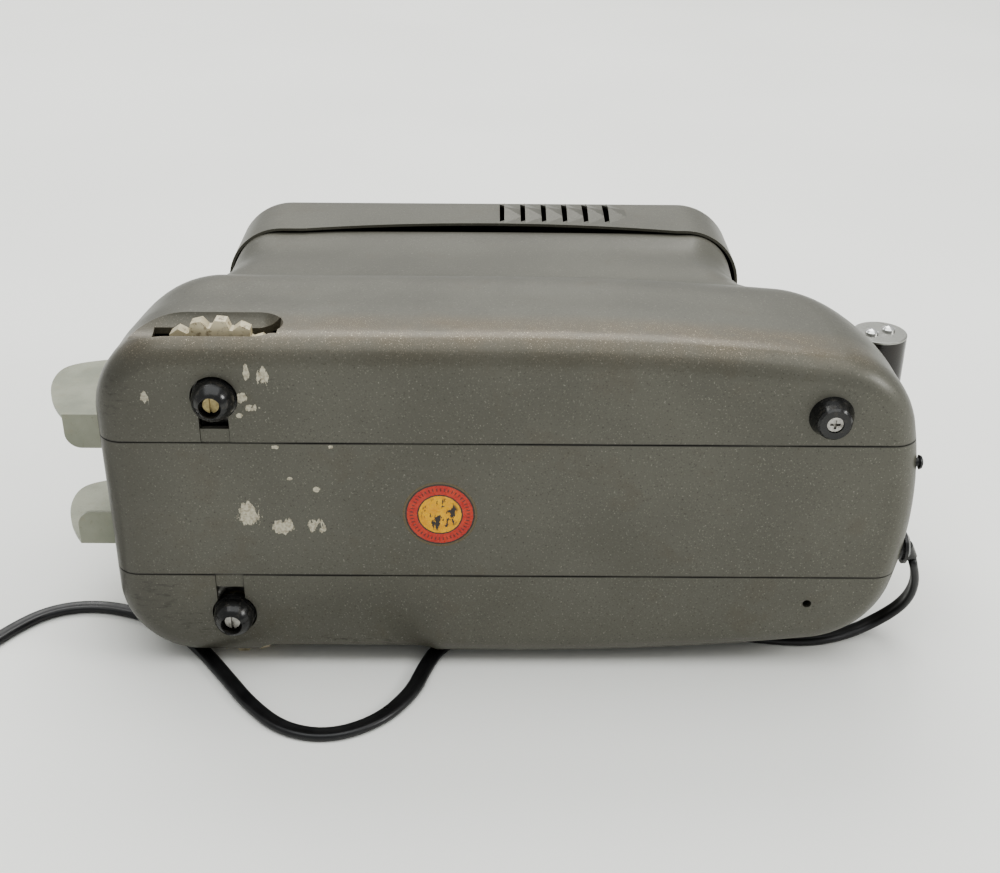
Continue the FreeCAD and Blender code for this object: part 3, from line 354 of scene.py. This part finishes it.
def printed_label():
    """Rings of red and yellow between dark lines, on olive, much worn."""
    material, tree = new_material("printed_label")
    low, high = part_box("approval_label")
    centre = (low + high) / 2
    off = add(tree, "VectorMath", {0: where(tree), 1: centre}, operation="SUBTRACT").outputs[0]
    off = add(tree, "VectorMath", {0: off, 1: (1, 0, 1)}, operation="MULTIPLY").outputs[0]
    wobble = product(tree, maths(tree, "SUBTRACT", noise(tree, 900, 3), 0.5), 0.00045)
    radius = add(tree, "VectorMath", {0: off}, operation="LENGTH").outputs["Value"]
    radius = maths(tree, "ADD", radius, wobble)
    red = step(tree, noise(tree, 400, 4), 0.3, 0.75)
    red = blend(tree, red, (0.40, 0.018, 0.009), (0.50, 0.045, 0.013))
    yellow = step(tree, noise(tree, 300, 4), 0.3, 0.7)
    yellow = blend(tree, yellow, (0.72, 0.40, 0.012), (0.60, 0.28, 0.010))
    colour = OLIVE
    fuzz = 0.00012
    rings = ((RED_RING + 0.6, INK), (RED_RING, red),
             (YELLOW_RING + 0.5, INK), (YELLOW_RING, yellow))
    for edge, ring in rings:
        mask = step(tree, radius, edge * MM + fuzz, edge * MM - fuzz)
        colour = blend(tree, mask, colour, ring)

    # plain dashes round the red ring, where small print would be
    parts = add(tree, "SeparateXYZ", {0: off})
    angle = maths(tree, "ARCTAN2", parts.outputs[2], parts.outputs[0])
    beat = maths(tree, "SINE", product(tree, angle, DASHES))
    beat = maths(tree, "ADD", beat, product(tree, noise(tree, 700, 2), 0.9))
    beat = step(tree, beat, 0.85, 1.15)
    band = step(tree, apart(tree, radius, DASH_RING * MM), 0.0008, 0.0005)
    colour = blend(tree, product(tree, beat, band, 0.8), colour, INK)

    # ink that has bled and flaked over the middle
    ink = noise(tree, 1.0, 4, 0.6, at=stretched(tree, (340, 1, 190), off))
    ink = step(tree, ink, 0.53, 0.57)
    inside = step(tree, radius, 0.0075, 0.0060)
    colour = blend(tree, product(tree, ink, inside), colour, INK)
    scuff = step(tree, noise(tree, 800, 5, 0.7), 0.63, 0.68)
    colour = blend(tree, product(tree, scuff, 0.7), colour, OLIVE)
    shade(tree, colour, step(tree, noise(tree, 500, 3), 0.3, 0.7, 0.20, 0.36),
          bump(tree, maths(tree, "ADD", scuff, ink), 0.00003, 0.5),
          Coat_Weight=0.2, Coat_Roughness=0.2)
    return material


def windings():
    """Enamelled copper wire, wound in rows."""
    material, tree = new_material("windings")
    sockets = {"Vector": where(tree), "Scale": 700.0, "Distortion": 0.6}
    wave = add(tree, "TexWave", sockets, bands_direction="Z").outputs["Fac"]
    colour = blend(tree, wave, (0.16, 0.040, 0.012), (0.50, 0.17, 0.05))
    rough = step(tree, noise(tree, 300), 0.3, 0.7, 0.28, 0.42)
    shade(tree, colour, rough, bump(tree, wave, 0.0002, 0.8), Metallic=0.8)
    return material


def laminations():
    """Dark sheet steel, stacked."""
    material, tree = new_material("laminations")
    sockets = {"Vector": where(tree), "Scale": 330.0}
    wave = add(tree, "TexWave", sockets, bands_direction="Y").outputs["Fac"]
    colour = blend(tree, wave, (0.05, 0.05, 0.055), (0.16, 0.16, 0.17))
    rough = step(tree, noise(tree, 400), 0.3, 0.7, 0.40, 0.58)
    shade(tree, colour, rough, bump(tree, wave, 0.00015, 0.8), Metallic=0.7)
    return material


paint = hammered_paint()
ivory = moulded("ivory_plastic", (0.56, 0.50, 0.36), (0.44, 0.39, 0.27), 0.36, 1400, 0.00004,
                grime=(0.16, 0.12, 0.07), Subsurface_Weight=0.06,
                Subsurface_Radius=(0.004, 0.003, 0.0015))
rubber = moulded("black_rubber", (0.016, 0.016, 0.016), (0.008, 0.008, 0.008), 0.20, 900,
                 0.00005, grime=(0.040, 0.036, 0.030))
cord_rubber = moulded("cord_rubber", (0.013, 0.013, 0.014), (0.006, 0.006, 0.007), 0.33, 1600,
                      0.00003)
bakelite = moulded("black_plastic", (0.018, 0.014, 0.011), (0.010, 0.008, 0.007), 0.22, 1100,
                   0.00003)
enamel = moulded("black_enamel", (0.020, 0.020, 0.021), (0.011, 0.011, 0.012), 0.32, 1500, 0.00003)
steel = metal("dull_steel", (0.40, 0.39, 0.37), (0.12, 0.11, 0.09), 0.30, (1, 6, 1), worn=0.6)
bright = metal("bright_metal", (0.72, 0.72, 0.71), (0.40, 0.39, 0.37), 0.14, (6, 1, 1), worn=0.15)
brass = metal("pale_brass", (0.40, 0.34, 0.19), (0.15, 0.11, 0.055), 0.28, (1, 6, 1))
nickel = metal("tube_metal", (0.34, 0.34, 0.32), (0.13, 0.125, 0.11), 0.34, (8, 1, 1), worn=0.6)
alloy = worn_alloy()
silvered = metal("silvered", (0.88, 0.88, 0.89), (0.70, 0.70, 0.72), 0.08, worn=0.1)
clear = glass("optical_glass", (0.93, 0.96, 0.97))
label = printed_label()

FINISHES = {
    paint: ["centre_frame", "left_cover", "right_cover", "lamp_house_cap"],
    ivory: ["elevation_wheel_left", "elevation_wheel_right"],
    rubber: ["front_foot_left", "front_foot_right", "rear_foot", "cord_gland", "strain_relief",
             "plug_body"],
    bakelite: ["handle_grip", "switch_body", "lamp_socket"],
    enamel: ["lens_barrel", "slide_gate", "rear_screw"],
    brass: ["foot_screw_left", "lamp_base", "plug_blades", "cap_screws"],
    alloy: ["slide_bin_left_plate", "slide_bin_right_plate", "slide_bin_back"],
    nickel: ["lens_tube", "handle_end_plates", "cap_posts", "fan_impeller"],
    bright: ["switch_lever", "handle_screws"],
    silvered: ["reflector"],
    clear: ["lens_elements", "condenser_lenses", "heat_glass", "lamp_bulb"],
    windings(): ["motor_coils"],
    laminations(): ["motor_stack", "motor_rotor"],
    label: ["approval_label"],
    steel: ["foot_screw_right", "foot_stud_left", "foot_stud_right", "elevator_bracket_left",
            "elevator_bracket_right", "rear_foot_screw", "motor_shaft", "motor_bearing_low",
            "motor_bearing_high", "motor_posts", "lamp_house_bridge", "optical_deck",
            "condenser_housing", "reflector_stand", "handle_yoke"],
}


SHARP_EDGE = 28.0


def finish_node(name, material):
    """Give a CAD node its material, smooth its curved faces and keep its sharp edges."""
    item = nodes[name]
    item.data.materials.clear()
    item.data.materials.append(material)
    item.data.shade_smooth()
    sharp = item.modifiers.new("sharp", "EDGE_SPLIT")
    sharp.split_angle = math.radians(SHARP_EDGE)


for material, names in FINISHES.items():
    for name in names:
        finish_node(name, material)


# ---------------------------------------------------------------- mesh helpers
def mesh_object(name, points, faces, material):
    mesh = bpy.data.meshes.new(name)
    mesh.from_pydata([tuple(point) for point in points], [], faces)
    mesh.validate()
    item = bpy.data.objects.new(name, mesh)
    bpy.context.scene.collection.objects.link(item)
    mesh.materials.append(material)
    return item


def curve_points(name, route, resolution):
    """The points of a smooth, open line that a given route draws towards itself."""
    data = bpy.data.curves.new(name, "CURVE")
    data.dimensions = "3D"
    data.resolution_u = resolution
    spline = data.splines.new("NURBS")
    spline.points.add(len(route) - 1)
    for point, place in zip(spline.points, route):
        point.co = (*place, 1.0)
    spline.order_u = 3
    spline.use_endpoint_u = True
    item = bpy.data.objects.new(name, data)
    bpy.context.scene.collection.objects.link(item)
    bpy.context.view_layer.update()
    mesh = bpy.data.meshes.new_from_object(item)
    points = [vertex.co.copy() for vertex in mesh.vertices]
    bpy.data.objects.remove(item)
    bpy.data.meshes.remove(mesh)
    return points


# ---------------------------------------------------------------- mains cord
# The run from the gland to the coil, and the tail from the coil to the plug, on machine axes.
CORD_ROUTE = [
    (154.5, 12.9, -26.8), (157.9, 15.0, -35.0), (159.0, 18.5, -46.0), (156.8, 23.2, -56.5),
    (149.5, 26.2, -65.5), (137.5, 22.0, -69.0), (122.0, 16.6, -69.0), (104.5, 17.8, -69.0),
    (83.0, 22.0, -69.0), (58.0, 25.5, -69.0), (32.0, 26.5, -69.0), (7.0, 25.0, -69.0),
    (-12.5, 21.5, -69.0), (-26.5, 12.0, -69.0), (-32.0, -2.5, -69.0), (-36.0, -18.0, -69.0),
    (-47.5, -34.5, -69.0), (-64.5, -43.0, -69.0), (-82.0, -39.0, -69.0), (-96.0, -25.0, -69.0),
    (-107.5, -8.5, -69.0), (-120.5, 9.5, -69.0), (-134.0, 23.5, -69.0), (-150.5, 33.5, -69.0),
    (-170.0, 38.5, -69.0), (-187.5, 34.0, -69.0), (-200.0, 19.5, -69.0), (-208.5, 3.0, -69.0),
]
TAIL_ROUTE = [(-297.0, 12.0, -65.3), (-297.6, 22.5, -64.1)]
FLAT_WIDE, FLAT_THICK = 6.2, 3.1
LINE_STEPS = 6

# The coil, in turns: how many it has, where it climbs a layer, and how long each climb takes.
COIL_START = math.radians(-18)
COIL_TURNS, COIL_CLIMBS, COIL_CLIMB = 5.45, (2.0, 4.0), 0.3
STEPS_PER_TURN = 20
COIL_MARGIN = 0.3
FLOOR_GAP, LAYER_GAP = 0.05, 0.1


def coil_turns():
    """Turns laid clockwise in three layers: winding in on the floor, out on top, and round."""
    low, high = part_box("cord_coil")
    centre = (low + high) / 2
    outer = (high.x - low.x) / 2 - (FLAT_WIDE * 0.5 + COIL_MARGIN) * MM
    back_out = max(COIL_CLIMBS)
    points = []
    for index in range(int(COIL_TURNS * STEPS_PER_TURN) + 1):
        turned = index / STEPS_PER_TURN
        inward = max(min(turned, back_out - turned), 0.0)
        layer = sum(min(max((turned - climb) / COIL_CLIMB, 0.0), 1.0) for climb in COIL_CLIMBS)
        radius = outer - FLAT_WIDE * MM * inward
        angle = COIL_START - math.tau * turned
        height = (FLAT_THICK * 0.5 + FLOOR_GAP + layer * (FLAT_THICK + LAYER_GAP)) * MM
        points.append(Vector((centre.x + radius * math.cos(angle),
                              centre.y + radius * math.sin(angle), height)))
    return points


CORE_POINTS = 9
CORE_ARC = 236.0


def twin_section():
    """A flat twin flex: two round cores side by side, with a groove between them."""
    outline = []
    core, offset = FLAT_THICK * 0.5 * MM, (FLAT_WIDE - FLAT_THICK) * 0.5 * MM
    for side in (1, -1):
        for index in range(CORE_POINTS):
            angle = math.radians(CORE_ARC * (index / (CORE_POINTS - 1) - 0.5))
            across = offset + core * math.cos(angle)
            outline.append((side * across, side * core * math.sin(angle)))
    return outline


LYING = 0.93


def sweep(name, points, section, material):
    """A closed tube along points. Its wide side lies flat, and is carried along where it hangs."""
    aheads = [(points[min(i + 1, len(points) - 1)] - points[max(i - 1, 0)]).normalized()
              for i in range(len(points))]
    up = Vector((0, 0, 1))
    sides = [None] * len(points)
    previous = None
    for index in reversed(range(len(points))):
        flat = aheads[index].cross(up)
        if flat.length > LYING or previous is None:
            side = flat.normalized()
            if previous is not None:
                side = previous * 0.5 + side * 0.5
        else:
            side = previous
        side = (side - aheads[index] * side.dot(aheads[index])).normalized()
        sides[index] = side
        previous = side
    rings = []
    for point, ahead, side in zip(points, aheads, sides):
        normal = side.cross(ahead)
        rings += [point + side * across + normal * rise for across, rise in section]
    count = len(section)
    faces = []
    for ring in range(len(points) - 1):
        for index in range(count):
            after = (index + 1) % count
            faces.append((ring * count + index, ring * count + after,
                          (ring + 1) * count + after, (ring + 1) * count + index))
    faces.append(tuple(reversed(range(count))))
    faces.append(tuple(range((len(points) - 1) * count, len(points) * count)))
    item = mesh_object(name, rings, faces, material)
    fix = bmesh.new()
    fix.from_mesh(item.data)
    bmesh.ops.recalc_face_normals(fix, faces=fix.faces)
    fix.to_mesh(item.data)
    fix.free()
    item.data.shade_smooth()
    return item


def make_cord():
    route = [spot(*place) for place in CORD_ROUTE] + coil_turns()
    route += [spot(*place) for place in TAIL_ROUTE]
    line = curve_points("cord_line", route, LINE_STEPS)
    cord = sweep("mains_cord", line, twin_section(), cord_rubber)
    length = sum((b - a).length for a, b in zip(line, line[1:]))
    print("cord length %.3f m, %d points" % (length, len(line)))
    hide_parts("cord_run", "cord_coil", "cord_tail")
    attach(cord, "case")


make_cord()


# ---------------------------------------------------------------- floor and light
FLOOR_REACH = 4.0


def make_stage():
    material, tree = new_material("pale_floor")
    cloud = step(tree, noise(tree, 3, 2), 0.3, 0.7)
    colour = blend(tree, cloud, (0.84, 0.84, 0.81), (0.88, 0.88, 0.85))
    shade(tree, colour, 0.62, bump(tree, noise(tree, 260, 3), 0.0001, 0.3))
    around = ((-1, -1), (1, -1), (1, 1), (-1, 1))
    corners = [(FLOOR_REACH * x, FLOOR_REACH * y, 0) for x, y in around]
    mesh_object("floor", corners, [(0, 1, 2, 3)], material)


def soft_light(name, position, target, width, height, power, colour):
    data = bpy.data.lights.new(name, "AREA")
    data.shape = "RECTANGLE"
    data.size = width
    data.size_y = height
    data.energy = power
    data.color = colour
    item = bpy.data.objects.new(name, data)
    bpy.context.scene.collection.objects.link(item)
    item.location = position
    item.rotation_mode = "QUATERNION"
    item.rotation_quaternion = (Vector(target) - Vector(position)).to_track_quat("-Z", "Y")


make_stage()
soft_light("window", (-0.3, 1.6, 2.0), (0, 0, 0.05), 2.6, 1.4, 40, (1.0, 1.0, 0.98))
soft_light("ceiling", (0.0, -0.3, 2.3), (0, 0, 0.0), 3.0, 2.2, 36, (0.98, 1.0, 1.0))
soft_light("lamp", (1.5, -0.5, 0.9), (0.15, -0.05, 0.1), 0.5, 0.5, 9, (1.0, 1.0, 0.98))
world = bpy.data.worlds.new("room")
bpy.context.scene.world = world
world.use_nodes = True
background = world.node_tree.nodes["Background"]
background.inputs["Color"].default_value = (0.80, 0.81, 0.80, 1.0)
background.inputs["Strength"].default_value = 0.72
bpy.context.scene.view_settings.look = "AgX - Medium High Contrast"
